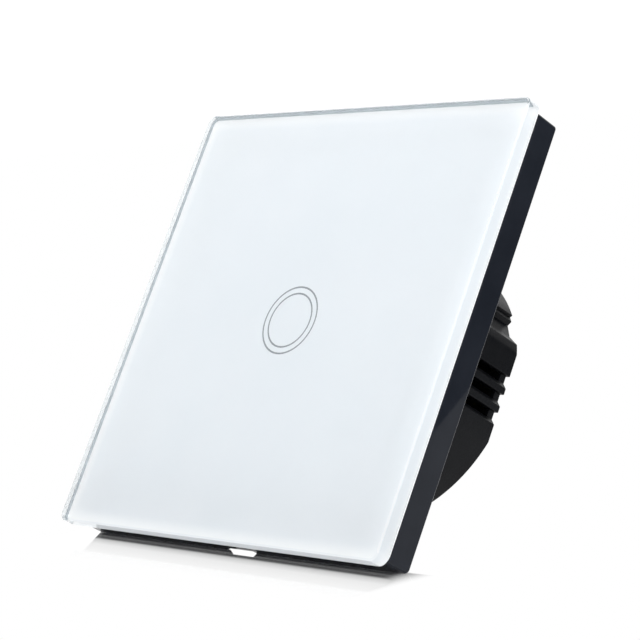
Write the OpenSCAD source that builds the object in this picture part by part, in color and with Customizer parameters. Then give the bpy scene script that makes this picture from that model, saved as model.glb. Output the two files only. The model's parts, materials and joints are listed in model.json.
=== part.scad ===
// Touch light switch for a round wall box. A glass panel on a black frame pushes onto a
// steel mounting plate, and a round switching module hangs behind the plate in the wall.
// X points right, Y into the wall and Z up. The origin is the centre of the wall plane.

/* [Glass panel] */
// Width and height of the square glass
panel_w = 80; // [79:0.5:92]
// Thickness of the glass
glass_t = 3; // [2:0.1:5]
// Radius of the four upright corners of the glass
glass_corner_r = 1.5; // [1.2:0.1:4]
// Width of the ground edge on the front and the back of the glass
glass_arris = 0.4; // [0.1:0.1:0.8]

/* [Print behind the glass] */
// Thickness of the white film
film_t = 0.25; // [0.2:0.05:0.5]
// Clear glass left between the film and the ground edge
film_margin = 0.1; // [0.05:0.05:0.4]
// Radius to the outside of the outer ring line
ring_outer_r = 6.3; // [5.8:0.1:7]
// Radius to the outside of the inner ring line
ring_inner_r = 5.1; // [4.6:0.1:5.4]
// Width of each ring line
ring_line = 0.3; // [0.2:0.05:0.4]
// Thickness of the ink of the ring lines
ring_ink_t = 0.1; // [0.05:0.05:0.15]

/* [Panel frame] */
// How far the glass stands out past the frame all round
frame_inset = 1; // [0.4:0.1:1.5]
// Depth of the frame from the film to the wall
frame_depth = 5.65; // [5.4:0.05:8]
// Thickness of the side walls of the frame
frame_wall = 1.8; // [1.4:0.1:2.2]
// Radius of the outer corners of the frame
frame_corner_r = 0.8; // [0.7:0.1:4]
// Bevel along the edge of the frame that meets the wall
frame_bevel = 0.35; // [0.1:0.05:0.6]
// Thickness of the deck that carries the glass
deck_t = 1.2; // [0.8:0.1:1.4]
// Width and height of the window in the deck
deck_window = 50; // [46:1:54]
// Height of the ribs that grip the edge of the mounting plate
grip_rib_h = 1.45; // [0.8:0.05:2]
// Width of each grip rib
grip_rib_w = 6; // [3:0.5:8]
// Distance of the grip ribs from the middle of their side
grip_rib_at = 22; // [18:0.5:25]
// Thickness of the stiffening ribs under the deck
stiffener_t = 1; // [0.8:0.1:1.6]
// Height of the stiffening ribs under the deck
stiffener_h = 1.6; // [0.8:0.1:1.8]
// Distance of the stiffening ribs from the middle of their side
stiffener_at = 12; // [6:0.5:15]
// Width of the pry slot in the bottom edge
pry_w = 7; // [5:0.5:12]
// Depth of the pry slot
pry_d = 1.2; // [0.8:0.1:2]
// Thickness of the tape that holds the glass
tape_t = 0.5; // [0.3:0.05:0.8]
// Width of the tape
tape_w = 5; // [3:0.5:8]
// Rim of the frame outside the tape
tape_rim = 1.2; // [0.8:0.1:2]

/* [Touch board] */
// Thickness of the touch board
touch_board_t = 1.2; // [0.8:0.1:1.4]
// Lap of the touch board on the deck round the window
board_lap = 3; // [2.6:0.1:4]
// Radius of the posts that rivet the board to the deck
post_r = 0.9; // [0.6:0.1:1]
// Radius of the melted heads of the posts
post_head_r = 1.5; // [1.2:0.1:1.6]
// Thickness of the melted heads
post_head_t = 0.6; // [0.3:0.1:0.8]
// Outer radius of the sensor spring at the board
sensor_r = 4.2; // [4:0.1:4.4]
// Outer radius of the sensor spring at the film
sensor_tip_r = 2.9; // [2.8:0.1:3.2]
// Thickness of the spring wire
sensor_wire = 0.45; // [0.35:0.05:0.45]
// Turns of the sensor spring
sensor_turns = 2; // [1.5:0.25:2]
// Outer radius of the light guide round the sensor spring
guide_r = 8; // [7.4:0.1:10]
// Width of the square indicator lamp
led_w = 3; // [2:0.1:3.6]
// Height of the indicator lamp
led_h = 1; // [0.6:0.1:1.4]
// Length of the touch chip
touch_chip_l = 5; // [4:0.1:8]
// Width of the touch chip
touch_chip_w = 4; // [3:0.1:6]
// Height of the touch chip
touch_chip_h = 1; // [0.6:0.1:1.2]
// Distance of the touch chip above the centre
touch_chip_at = 12; // [11:0.5:16]

/* [Plug between panel and module] */
// Number of pins
pin_count = 5; // [3:1:6]
// Distance between pins
pin_pitch = 2.54; // [2.4:0.02:2.7]
// Width of a square pin
pin_w = 0.64; // [0.5:0.02:0.8]
// Depth of a pin in the socket
pin_depth = 3.9; // [2.5:0.1:4.1]
// Length of the soldered end of a pin
pin_tail = 0.6; // [0.4:0.1:1]
// Width of the plastic strip and of the socket
strip_w = 2.5; // [2.2:0.1:3]
// Thickness of the plastic strip
strip_t = 1.25; // [0.8:0.05:1.3]
// Height of the socket on the power board
socket_h = 5; // [4.6:0.1:6]
// Distance of the pin row below the centre
pin_row_drop = 14; // [12.5:0.1:14.4]

/* [Mounting plate] */
// Thickness of the steel plate
plate_t = 1.2; // [1:0.1:1.3]
// Radius of the corners of the plate
plate_corner_r = 4; // [2:0.5:6]
// Radius of the hole for the hub of the module
plate_hole_r = 18.2; // [18:0.05:18.4]
// Distance between the two wall screws of a pair
wall_screw_pitch = 60; // [59:0.5:61]
// Width of a wall screw slot
wall_slot_w = 3.6; // [3.2:0.1:4.4]
// Length of a wall screw slot from end to end
wall_slot_l = 7; // [5:0.1:7.4]

/* [Module housing] */
// Radius of the round housing
module_r = 24.65; // [24.3:0.05:25.5]
// Depth of the housing behind the wall plane
module_depth = 23.1; // [22.8:0.1:30]
// Thickness of the side wall
module_wall = 1.4; // [1.1:0.1:1.6]
// Thickness of the back
module_back = 1.4; // [1:0.1:1.6]
// Distance from the centre to the flat on each side
side_flat = 23.3; // [23:0.05:23.8]
// Number of vents in each side flat
vent_count = 3; // [1:1:3]
// Height of a vent at its inner end
vent_h = 1.25; // [0.8:0.05:1.5]
// Distance between vents
vent_pitch = 3.3; // [3:0.05:3.5]
// Slope of the lower lip of a vent, and depth of its notch in the back
vent_lip = 0.9; // [0.5:0.05:1]
// Distance of the front end of a vent behind the wall plane
vent_front = 6.5; // [5.6:0.1:9]
// Angle where the grip notch in the side starts
notch_start = 23.8; // [23:0.1:25]
// Angle where the floor of the grip notch starts
notch_floor_start = 29.2; // [28:0.1:30]
// Angle where the floor of the grip notch ends
notch_floor_end = 35.3; // [33:0.1:35.6]
// Angle where the grip notch ends
notch_end = 36.3; // [36:0.1:38]
// Depth of the grip notch
notch_depth = 1.4; // [0.8:0.05:1.6]
// Angle taken by the ledge above the grip notch
ledge_span = 2.2; // [1:0.1:3]
// Depth of the ledge above the grip notch
ledge_depth = 0.5; // [0.3:0.05:0.8]
// Angle by which the thick wall behind a grip notch passes the notch at each end
pad_margin = 4; // [3:0.5:5]
// Width of the ribs that the power board rests on
board_rib_w = 1.5; // [1:0.1:2]
// Height of the ribs that the power board rests on
board_rib_h = 1; // [0.8:0.1:1.4]
// Angle of the board ribs to the left and the right of the top
board_rib_angle = 20; // [14:1:24]

/* [Front cover] */
// Thickness of the front cover
cover_t = 1.6; // [1.2:0.1:2]
// Thickness of the skirt that holds the power board
skirt_t = 1.2; // [0.8:0.1:1.2]

/* [Housing screws] */
// Angle of the upper pair above the horizontal
upper_screw_angle = 46; // [45:0.5:52]
// Angle of the lower pair below the horizontal
lower_screw_angle = 32; // [31:0.5:33]
// Radius of a screw boss
boss_r = 2.4; // [2:0.1:2.5]
// Radius of a screw shank
case_screw_r = 1; // [0.8:0.05:1.2]
// Length of a screw under its head
case_screw_l = 12; // [8:0.5:16]
// Radius of a screw head
case_head_r = 2; // [1.6:0.1:2.2]
// Thickness of a screw head
case_head_t = 0.9; // [0.7:0.1:1]
// Width of the driver slots in the heads of all screws
slot_w = 0.7; // [0.5:0.1:0.9]
// Depth of the driver slots
slot_d = 0.6; // [0.3:0.1:0.6]

/* [Power board] */
// Thickness of the power board
power_board_t = 1.6; // [1.2:0.1:1.6]
// Gap between neighbouring components
part_gap = 1.5; // [1:0.1:1.8]
// Length of the relay
relay_l = 18.4; // [15:0.1:19]
// Width of the relay
relay_w = 10.2; // [9:0.1:10.5]
// Gap between the relay and the back of the housing
relay_gap = 1; // [0.8:0.1:4]
// Width of the outer legs of the transformer core
core_leg = 2; // [1.5:0.1:2.2]
// Width of the middle leg of the core
core_mid = 4; // [3:0.1:4.2]
// Width of a winding window of the core
core_window = 2.5; // [2:0.1:2.6]
// Depth of the core
core_d = 5; // [4:0.1:6]
// Height of the core
core_h = 12; // [9:0.1:14]
// Radius of the smoothing capacitor
capacitor_r = 4; // [3:0.1:4.2]
// Height of the smoothing capacitor
capacitor_h = 12; // [8:0.5:15]
// Length of the film capacitor
film_cap_l = 10; // [8:0.1:10.5]
// Width of the film capacitor
film_cap_w = 5.5; // [4:0.1:6]
// Height of the film capacitor
film_cap_h = 11; // [8:0.1:14]
// Radius of the fuse
fuse_r = 1.8; // [1.2:0.1:2]
// Length of the fuse
fuse_l = 8; // [6:0.1:9]
// Width of the square control chip
power_chip_w = 6; // [4:0.1:8]
// Height of the control chip
power_chip_h = 1.4; // [0.8:0.1:1.6]

/* [Terminals] */
// Distance between terminals
terminal_pitch = 8.5; // [8.2:0.1:9]
// Distance of the terminal screws from the inside of the round wall
terminal_inset = 9.05; // [8.65:0.05:9.45]
// Width of a clamp cage
cage_w = 6.6; // [6.4:0.1:6.8]
// Wall of a clamp cage
cage_wall = 1; // [0.8:0.05:1.05]
// Height of a clamp cage along the wire
cage_l = 5.5; // [5.2:0.1:6]
// Thickness of the threaded wall of a cage
nut_t = 2; // [1.4:0.1:2.4]
// Room for the wire when the clamp is open
wire_room = 4.3; // [4.2:0.05:4.6]
// Travel of a cage from open to clamped
clamp_travel = 3; // [2:0.1:3.2]
// Thickness of a busbar
busbar_t = 0.8; // [0.6:0.05:1]
// Radius of a terminal screw
terminal_screw_r = 1.5; // [1.3:0.05:1.6]
// Radius of a terminal screw head
terminal_head_r = 2.5; // [2.4:0.05:2.7]
// Thickness of a terminal screw head
terminal_head_t = 1.7; // [1.2:0.1:1.8]
// Radius of the screwdriver hole in the back
driver_hole_r = 2.1; // [1.8:0.05:2.2]
// Wall of the terminal block
block_wall = 1; // [0.8:0.05:1.1]
// Width and height of a wire entry
wire_entry = 4.6; // [4.4:0.1:4.8]

/* [Fits] */
// Clearance round pieces that slide or drop in
fit_gap = 0.25; // [0.2:0.05:0.35]
// Clearance round a clamp cage in its chamber
cage_gap = 0.3; // [0.2:0.05:0.35]
// Clearance round a pin in the socket
pin_gap = 0.3; // [0.2:0.05:0.35]
// Clearance of a screw in its hole
thread_gap = 0.05; // [0.02:0.01:0.1]
// End clearance of a terminal screw at its head
head_gap = 0.3; // [0.2:0.05:0.4]
// Gap between the tip of a terminal screw and the busbar
tip_gap = 0.1; // [0.05:0.05:0.3]

/* [Hidden] */
$fn = 96;
cut_over = 1;
over_share = 0.8;
coil_sides = 6;
coil_rings = 48;
weld = 0.1;

// Levels from the wall towards the room
frame_front = -frame_depth;
film_front = frame_front - film_t;
glass_front = film_front - glass_t;
deck_front = frame_front + tape_t;
deck_back = deck_front + deck_t;
touch_board_back = deck_back + touch_board_t;
strip_back = touch_board_back + strip_t;
plate_front = -plate_t;

// Levels from the wall into the box
cover_back = cover_t;
power_board_front = plate_front + socket_h;
power_board_back = power_board_front + power_board_t;
inner_back = module_depth - module_back;
pin_tip = plate_front + pin_depth;

// Widths of the panel
film_w = panel_w - 2 * (glass_arris + film_margin);
frame_w = panel_w - 2 * frame_inset;
frame_inner_w = frame_w - 2 * frame_wall;
plate_w = frame_inner_w - 2 * (grip_rib_h + fit_gap);
touch_board_w = deck_window + 2 * board_lap;
post_at = (deck_window + board_lap) / 2;
tape_outer_w = frame_w - 2 * (tape_rim + fit_gap);

// Pin row
strip_l = pin_count * pin_pitch;
socket_l = strip_l + pin_gap;
pin_row_z = -pin_row_drop;

// Module
cavity_r = module_r - module_wall;
cavity_side = side_flat - module_wall;
notch_floor_r = module_r - notch_depth;
pad_r = notch_floor_r - module_wall;
boss_circle_r = cavity_r - boss_r + weld;
boss_places = [
    for (side = [1, -1], angle = [upper_screw_angle, -lower_screw_angle])
        [side * boss_circle_r * cos(angle), boss_circle_r * sin(angle)]
];
hub_r = plate_hole_r - fit_gap;

// Terminals
terminal_x = [-terminal_pitch, 0, terminal_pitch];
chamber_w = cage_w + 2 * cage_gap;
screw_z = terminal_inset - cavity_r;
cage_bottom = screw_z - cage_l / 2;
cage_top = screw_z + cage_l / 2;
chamber_bottom = cage_bottom - cage_gap;
busbar_w = cage_w - 2 * (cage_wall + fit_gap);
leg_bottom = cage_top + cage_gap;
leg_top = leg_bottom + busbar_t;
chamber_top = leg_top + tip_gap;
block_top = chamber_top + block_wall;
block_half_w = terminal_pitch + chamber_w / 2 + block_wall;
cage_front = power_board_back + cage_gap;
wire_front = cage_front + cage_wall;
busbar_front = wire_front + wire_room;
busbar_back = busbar_front + busbar_t;
screw_tip = busbar_back + tip_gap;
head_back = inner_back - head_gap;
head_front = head_back - terminal_head_t;
nut_back = head_front - head_gap - clamp_travel;
nut_front = nut_back - nut_t;
chamber_back = head_front - tip_gap;
wire_y = wire_front + wire_room / 2;

// Components on the back of the power board
first_row_z = block_top + part_gap;
core_w = 2 * core_leg + 2 * core_window + core_mid;
core_window_h = core_h - 2 * core_leg;
winding_wall = core_window - tip_gap;
coil_w = core_mid + 2 * core_window - 2 * tip_gap;
coil_d = core_d + 2 * winding_wall;
second_row_z = first_row_z + max(relay_w, coil_d) + part_gap;
core_x = part_gap / 2;
core_z = first_row_z + (coil_d - core_d) / 2;
fuse_x = core_x + core_w + part_gap + fuse_r;

// Least gap between neighbouring turns of the sensor spring
coil_gap = min([
    for (ring = [0 : coil_rings / sensor_turns * (sensor_turns - 1)])
        let (share = ring / coil_rings)
            norm(coil_point(share, 0, 0) - coil_point(share + 1 / sensor_turns, 0, 0))
]) - sensor_wire;
echo(coil_gap = coil_gap);

black = [0.09, 0.09, 0.1];
steel = [0.72, 0.73, 0.74];
brass = [0.78, 0.62, 0.3];
board_green = [0.08, 0.32, 0.2];

function polar(r, angle) = [r * cos(angle), r * sin(angle)];
function past(end, start) = end + (end - start) * over_share;

// Point of the sensor spring at a share of its length from board to film, off the middle of its wire
function coil_point(share, out, up) =
    let (
        r = sensor_r - sensor_wire / 2 - (sensor_r - sensor_tip_r) * share + out,
        y = deck_back - sensor_wire / 2 - (deck_back - frame_front - sensor_wire) * share - up,
        turn = 360 * sensor_turns * share
    )
    [r * cos(turn), y, r * sin(turn)];

// Block between two limits on each axis
module brick(x, y, z) {
    translate([x[0], y[0], z[0]])
        cube([x[1] - x[0], y[1] - y[0], z[1] - z[0]]);
}

// Round bar along Y
module rod(at, r, y) {
    translate([at[0], y[1], at[1]])
        rotate([90, 0, 0])
            cylinder(r = r, h = y[1] - y[0]);
}

// Drawing in X and Z, given a thickness along Y
module slab(y) {
    translate([0, y[1], 0])
        rotate([90, 0, 0])
            linear_extrude(y[1] - y[0])
                children();
}

module rounded_square(w, r) {
    square([w - 2 * r, w], center = true);
    square([w, w - 2 * r], center = true);
    for (x = [-1, 1], z = [-1, 1])
        translate([x, z] * (w / 2 - r))
            circle(r);
}

// Bevelled band of a rounded square plate, set in by one amount at each end
module bevel_band(w, r, y, inset) {
    straight = w / 2 - r;
    half = [w / 2 - inset[0], w / 2 - inset[1]];
    rotate([90, 0, 90])
        translate([0, 0, -straight])
            linear_extrude(2 * straight)
                polygon([[y[0], -half[0]], [y[1], -half[1]], [y[1], half[1]], [y[0], half[0]]]);
    translate([0, 0, -straight])
        linear_extrude(2 * straight)
            polygon([[-half[0], y[0]], [half[0], y[0]], [half[1], y[1]], [-half[1], y[1]]]);
    for (x = [-straight, straight], z = [-straight, straight])
        translate([x, y[0], z])
            rotate([-90, 0, 0])
                cylinder(r1 = r - inset[0], r2 = r - inset[1], h = y[1] - y[0]);
}

// Round outline with a flat on each side
module flatted_circle(r, side) {
    intersection() {
        circle(r);
        square([2 * side, 2 * r + cut_over], center = true);
    }
}

// Thick place of the housing wall behind a grip notch
module notch_pad(gap) {
    widen = pad_margin + gap * 180 / (PI * pad_r);
    reach = module_r + cut_over;
    difference() {
        polygon([
            polar(pad_r / 2, notch_start - widen),
            polar(reach, notch_start - widen),
            polar(reach / cos((notch_end - notch_start) / 2 + widen), (notch_start + notch_end) / 2),
            polar(reach, notch_end + widen),
            polar(pad_r / 2, notch_end + widen)
        ]);
        circle(pad_r - gap);
    }
}

// Inside of the housing, made smaller by a gap for the pieces that fit in it
module cavity_outline(gap) {
    difference() {
        flatted_circle(cavity_r - gap, cavity_side - gap);
        for (flip = [0, 1])
            mirror([flip, 0, 0])
                notch_pad(gap);
    }
}

// Grip notch with its ledge, cut into the side of the housing
module notch_cut() {
    low = polar(module_r, notch_start);
    low_floor = polar(notch_floor_r, notch_floor_start);
    high_floor = polar(notch_floor_r, notch_floor_end);
    high = polar(module_r, notch_end);
    ledge_r = module_r - ledge_depth;
    polygon([past(low, low_floor), low_floor, high_floor, past(high, high_floor)]);
    polygon([
        polar(ledge_r, notch_floor_end),
        polar(ledge_r, notch_end + ledge_span),
        polar(module_r + cut_over, notch_end + ledge_span),
        polar(module_r + cut_over, notch_floor_end)
    ]);
}

module shell_outline() {
    difference() {
        flatted_circle(module_r, side_flat);
        for (flip = [0, 1])
            mirror([flip, 0, 0])
                notch_cut();
    }
}

// Vent seen along Y: level top, lower lip sloping down to the outside
module vent_profile(inner_x) {
    lip_x = side_flat - vent_lip;
    polygon([
        [inner_x, vent_h / 2],
        [side_flat + cut_over, vent_h / 2],
        [side_flat + cut_over, -vent_h / 2 - vent_lip - cut_over],
        [lip_x, -vent_h / 2],
        [inner_x, -vent_h / 2]
    ]);
}

module vents() {
    for (flip = [0, 1], row = [0 : vent_count - 1])
        mirror([flip, 0, 0])
            translate([0, 0, (row - (vent_count - 1) / 2) * vent_pitch]) {
                slab([vent_front, inner_back])
                    vent_profile(cavity_side - cut_over);
                slab([inner_back - cut_over, module_depth + cut_over])
                    vent_profile(side_flat - vent_lip);
            }
}

module pin_row(w, y) {
    for (pin = [0 : pin_count - 1])
        translate([(pin - (pin_count - 1) / 2) * pin_pitch, 0, pin_row_z])
            brick([-w / 2, w / 2], y, [-w / 2, w / 2]);
}

module boss_holes(r, y) {
    for (at = boss_places)
        rod(at, r, y);
}

// Room for the bosses in a piece that drops into the housing, open to the wall
module boss_room(y) {
    room_r = boss_r + fit_gap;
    boss_holes(room_r, y);
    for (at = boss_places)
        rotate([0, -atan2(at[1], at[0]), 0])
            brick([boss_circle_r, module_r], y, [-room_r, room_r]);
}

// Four turned copies, one for each side of the panel
module each_side() {
    for (turn = [0 : 90 : 270])
        rotate([0, turn, 0])
            children();
}

module glass_panel() {
    color([0.86, 0.94, 0.95, 0.4]) {
        bevel_band(panel_w, glass_corner_r, [glass_front, glass_front + glass_arris], [glass_arris, 0]);
        slab([glass_front + glass_arris, film_front - glass_arris])
            rounded_square(panel_w, glass_corner_r);
        bevel_band(panel_w, glass_corner_r, [film_front - glass_arris, film_front], [0, glass_arris]);
    }
}

module ring_lines() {
    for (r = [ring_outer_r, ring_inner_r])
        difference() {
            rod([0, 0], r, [film_front, film_front + ring_ink_t]);
            rod([0, 0], r - ring_line, [film_front - cut_over, film_front + cut_over]);
        }
}

module white_film() {
    color("white")
        difference() {
            slab([film_front, frame_front])
                rounded_square(film_w, glass_corner_r);
            ring_lines();
        }
}

module ring_mark() {
    color([0.6, 0.63, 0.66])
        ring_lines();
}

module glass_tape() {
    color([0.2, 0.2, 0.2])
        slab([frame_front, deck_front])
            difference() {
                square(tape_outer_w, center = true);
                square(tape_outer_w - 2 * tape_w, center = true);
            }
}

module grip_ribs() {
    for (at = [-grip_rib_at, grip_rib_at])
        brick(
            [at - grip_rib_w / 2, at + grip_rib_w / 2],
            [deck_back - weld, -frame_bevel],
            [plate_w / 2 + fit_gap, frame_inner_w / 2 + weld]
        );
}

module stiffeners() {
    for (at = [-stiffener_at, stiffener_at])
        brick(
            [at - stiffener_t / 2, at + stiffener_t / 2],
            [deck_back - weld, deck_back + stiffener_h],
            [touch_board_w / 2 + fit_gap, frame_inner_w / 2 + weld]
        );
}

module board_posts() {
    for (x = [-post_at, post_at], z = [-post_at, post_at]) {
        rod([x, z], post_r, [deck_back - weld, touch_board_back + weld]);
        rod([x, z], post_head_r, [touch_board_back, touch_board_back + post_head_t]);
    }
}

module panel_frame() {
    color(black) {
        difference() {
            union() {
                slab([frame_front, -frame_bevel])
                    rounded_square(frame_w, frame_corner_r);
                bevel_band(frame_w, frame_corner_r, [-frame_bevel, 0], [0, frame_bevel]);
            }
            slab([frame_front - cut_over, deck_front])
                square(frame_w - 2 * tape_rim, center = true);
            slab([deck_front - cut_over, deck_back + cut_over])
                square(deck_window, center = true);
            slab([deck_back, cut_over])
                square(frame_inner_w, center = true);
            brick(
                [-pry_w / 2, pry_w / 2],
                [-pry_d, cut_over],
                [-frame_w / 2 - cut_over, -frame_inner_w / 2 + cut_over]
            );
        }
        each_side() {
            grip_ribs();
            stiffeners();
        }
        board_posts();
    }
}

module touch_board() {
    color(board_green)
        difference() {
            slab([deck_back, touch_board_back])
                square(touch_board_w, center = true);
            for (x = [-post_at, post_at], z = [-post_at, post_at])
                rod([x, z], post_r + tip_gap, [deck_back - cut_over, touch_board_back + cut_over]);
            pin_row(pin_w + 2 * tip_gap, [deck_back - cut_over, touch_board_back + cut_over]);
        }
}

// Coiled spring that carries the touch from the back of the film to the board
module touch_spring() {
    wire = [for (side = [0 : coil_sides - 1]) polar(sensor_wire / 2, 360 * side / coil_sides)];
    points = [
        for (ring = [0 : coil_rings], at = wire)
            coil_point(ring / coil_rings, at[0], at[1])
    ];
    walls = [
        for (ring = [0 : coil_rings - 1], side = [0 : coil_sides - 1])
            let (
                a = ring * coil_sides + side,
                b = ring * coil_sides + (side + 1) % coil_sides
            )
            each [[a, b, a + coil_sides], [b, b + coil_sides, a + coil_sides]]
    ];
    ends = [
        for (side = [1 : coil_sides - 2], last = [coil_rings * coil_sides])
            each [[0, side + 1, side], [last, last + side, last + side + 1]]
    ];
    color(steel)
        polyhedron(points, concat(walls, ends));
}

module light_guide() {
    color([0.9, 0.9, 0.86])
        difference() {
            rod([0, 0], guide_r, [frame_front, deck_back]);
            rod([0, 0], sensor_r + fit_gap, [frame_front - cut_over, deck_back + cut_over]);
        }
}

module indicator_led() {
    color([0.95, 0.95, 0.85])
        brick([-led_w / 2, led_w / 2], [deck_back - led_h, deck_back], [-led_w / 2, led_w / 2]);
}

module touch_chip() {
    color([0.12, 0.12, 0.12])
        translate([0, 0, touch_chip_at])
            brick(
                [-touch_chip_l / 2, touch_chip_l / 2],
                [touch_board_back, touch_board_back + touch_chip_h],
                [-touch_chip_w / 2, touch_chip_w / 2]
            );
}

module pin_strip() {
    color(black)
        difference() {
            brick(
                [-strip_l / 2, strip_l / 2],
                [touch_board_back, strip_back],
                [pin_row_z - strip_w / 2, pin_row_z + strip_w / 2]
            );
            pin_row(pin_w + 2 * tip_gap, [touch_board_back - cut_over, strip_back + cut_over]);
        }
}

module header_pins() {
    color(brass)
        pin_row(pin_w, [deck_back - pin_tail, pin_tip]);
}

// Wall screw slot, long towards the middle of the plate
module wall_slot() {
    flat_l = wall_slot_l - wall_slot_w;
    translate([wall_screw_pitch / 2, 0]) {
        square([flat_l, wall_slot_w], center = true);
        for (x = [-flat_l / 2, flat_l / 2])
            translate([x, 0])
                circle(wall_slot_w / 2);
    }
}

module mounting_plate() {
    color(steel)
        difference() {
            slab([plate_front, 0])
                rounded_square(plate_w, plate_corner_r);
            rod([0, 0], plate_hole_r, [plate_front - cut_over, cut_over]);
            each_side()
                slab([plate_front - cut_over, cut_over])
                    wall_slot();
            boss_holes(case_screw_r + thread_gap, [plate_front - cut_over, cut_over]);
        }
}

module front_cover() {
    color(black)
        difference() {
            union() {
                slab([0, cover_back])
                    cavity_outline(fit_gap);
                rod([0, 0], hub_r, [plate_front, weld]);
                slab([cover_back - weld, power_board_front])
                    difference() {
                        cavity_outline(fit_gap);
                        cavity_outline(fit_gap + skirt_t);
                    }
            }
            boss_holes(case_screw_r + thread_gap, [-cut_over, cover_back + cut_over]);
            boss_room([cover_back, power_board_front + cut_over]);
            brick(
                [-socket_l / 2 - tip_gap, socket_l / 2 + tip_gap],
                [plate_front - cut_over, cover_back + cut_over],
                [pin_row_z - strip_w / 2 - tip_gap, pin_row_z + strip_w / 2 + tip_gap]
            );
        }
}

module pin_socket() {
    color(black)
        difference() {
            brick(
                [-socket_l / 2, socket_l / 2],
                [plate_front, power_board_front],
                [pin_row_z - strip_w / 2, pin_row_z + strip_w / 2]
            );
            pin_row(pin_w + 2 * pin_gap, [plate_front - cut_over, pin_tip + pin_gap]);
        }
}

module power_board() {
    color(board_green)
        difference() {
            slab([power_board_front, power_board_back])
                cavity_outline(fit_gap);
            boss_room([power_board_front - cut_over, power_board_back + cut_over]);
        }
}

module power_chip() {
    color([0.12, 0.12, 0.12])
        brick(
            [-power_chip_w / 2, power_chip_w / 2],
            [power_board_front - power_chip_h, power_board_front],
            [-power_chip_w / 2, power_chip_w / 2]
        );
}

module relay() {
    color([0.1, 0.25, 0.55])
        brick(
            [-part_gap / 2 - relay_l, -part_gap / 2],
            [power_board_back, inner_back - relay_gap],
            [first_row_z, first_row_z + relay_w]
        );
}

// Ferrite core with a middle leg between two winding windows
module transformer_core() {
    color([0.2, 0.2, 0.22])
        translate([core_x, power_board_back, core_z])
            difference() {
                cube([core_w, core_h, core_d]);
                for (x = [core_leg, core_leg + core_window + core_mid])
                    translate([x, core_leg, -cut_over])
                        cube([core_window, core_window_h, core_d + 2 * cut_over]);
            }
}

// Winding round the middle leg of the core
module transformer_coil() {
    color([0.85, 0.7, 0.2])
        translate([core_x + core_w / 2, power_board_back + core_leg + tip_gap, first_row_z])
            difference() {
                translate([-coil_w / 2, 0, 0])
                    cube([coil_w, core_window_h - 2 * tip_gap, coil_d]);
                translate([-core_mid / 2 - tip_gap, -cut_over, winding_wall - tip_gap])
                    cube([core_mid + 2 * tip_gap, core_window_h + 2 * cut_over, core_d + 2 * tip_gap]);
            }
}

module capacitor() {
    color([0.1, 0.12, 0.2])
        rod(
            [-part_gap / 2 - capacitor_r, second_row_z + capacitor_r],
            capacitor_r,
            [power_board_back, power_board_back + capacitor_h]
        );
}

module film_capacitor() {
    color([0.8, 0.68, 0.2])
        brick(
            [part_gap / 2, part_gap / 2 + film_cap_l],
            [power_board_back, power_board_back + film_cap_h],
            [second_row_z, second_row_z + film_cap_w]
        );
}

module fuse() {
    color([0.75, 0.72, 0.65])
        translate([fuse_x, power_board_back + fuse_r, first_row_z + part_gap])
            cylinder(r = fuse_r, h = fuse_l);
}

// Way for a wire, up through the wall of the housing and the block into each chamber
module wire_entries() {
    for (x = terminal_x)
        brick(
            [x - wire_entry / 2, x + wire_entry / 2],
            [wire_y - wire_entry / 2, wire_y + wire_entry / 2],
            [-module_r - cut_over, chamber_bottom + cut_over]
        );
}

// Insulating block with one chamber for each terminal, seated on the round wall
module terminal_block() {
    color([0.16, 0.16, 0.17])
        difference() {
            intersection() {
                slab([power_board_back, inner_back])
                    cavity_outline(tip_gap);
                brick(
                    [-block_half_w, block_half_w],
                    [power_board_back - cut_over, inner_back + cut_over],
                    [-module_r, block_top]
                );
            }
            for (x = terminal_x) {
                brick(
                    [x - chamber_w / 2, x + chamber_w / 2],
                    [power_board_back - cut_over, chamber_back],
                    [chamber_bottom, chamber_top]
                );
                rod([x, screw_z], terminal_head_r + head_gap, [chamber_back - cut_over, inner_back + cut_over]);
            }
            wire_entries();
        }
}

// Bent strips from the power board to each clamp
module busbars() {
    color(brass)
        for (x = terminal_x) {
            brick(
                [x - busbar_w / 2, x + busbar_w / 2],
                [busbar_front, busbar_back],
                [cage_bottom + cage_gap, leg_top]
            );
            brick(
                [x - busbar_w / 2, x + busbar_w / 2],
                [power_board_back, busbar_back],
                [leg_bottom, leg_top]
            );
        }
}

// Rising clamp: a metal loop round the busbar and the wire, threaded at its back
module terminal_cage(x) {
    color(steel)
        difference() {
            brick([x - cage_w / 2, x + cage_w / 2], [cage_front, nut_back], [cage_bottom, cage_top]);
            brick(
                [x - cage_w / 2 + cage_wall, x + cage_w / 2 - cage_wall],
                [wire_front, nut_front],
                [cage_bottom - cut_over, cage_top + cut_over]
            );
            rod([x, screw_z], terminal_screw_r + thread_gap, [nut_front - cut_over, nut_back + cut_over]);
        }
}

module terminal_screw(x) {
    color(steel)
        difference() {
            union() {
                rod([x, screw_z], terminal_screw_r, [screw_tip, head_front + weld]);
                rod([x, screw_z], terminal_head_r, [head_front, head_back]);
            }
            brick(
                [x - terminal_head_r - cut_over, x + terminal_head_r + cut_over],
                [head_back - slot_d, head_back + cut_over],
                [screw_z - slot_w / 2, screw_z + slot_w / 2]
            );
        }
}

module rear_housing() {
    color([0.11, 0.11, 0.12])
        difference() {
            union() {
                difference() {
                    slab([0, module_depth])
                        shell_outline();
                    slab([-cut_over, inner_back])
                        cavity_outline(0);
                }
                boss_holes(boss_r, [cover_back, inner_back + weld]);
                for (side = [-1, 1])
                    rotate([0, side * board_rib_angle - 90, 0])
                        brick(
                            [cavity_r - board_rib_h, cavity_r + weld],
                            [power_board_back, inner_back + weld],
                            [-board_rib_w / 2, board_rib_w / 2]
                        );
            }
            vents();
            boss_holes(case_screw_r + thread_gap, [-cut_over, plate_front + case_screw_l + fit_gap]);
            wire_entries();
            for (x = terminal_x)
                rod([x, screw_z], driver_hole_r, [inner_back - cut_over, module_depth + cut_over]);
        }
}

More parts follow.
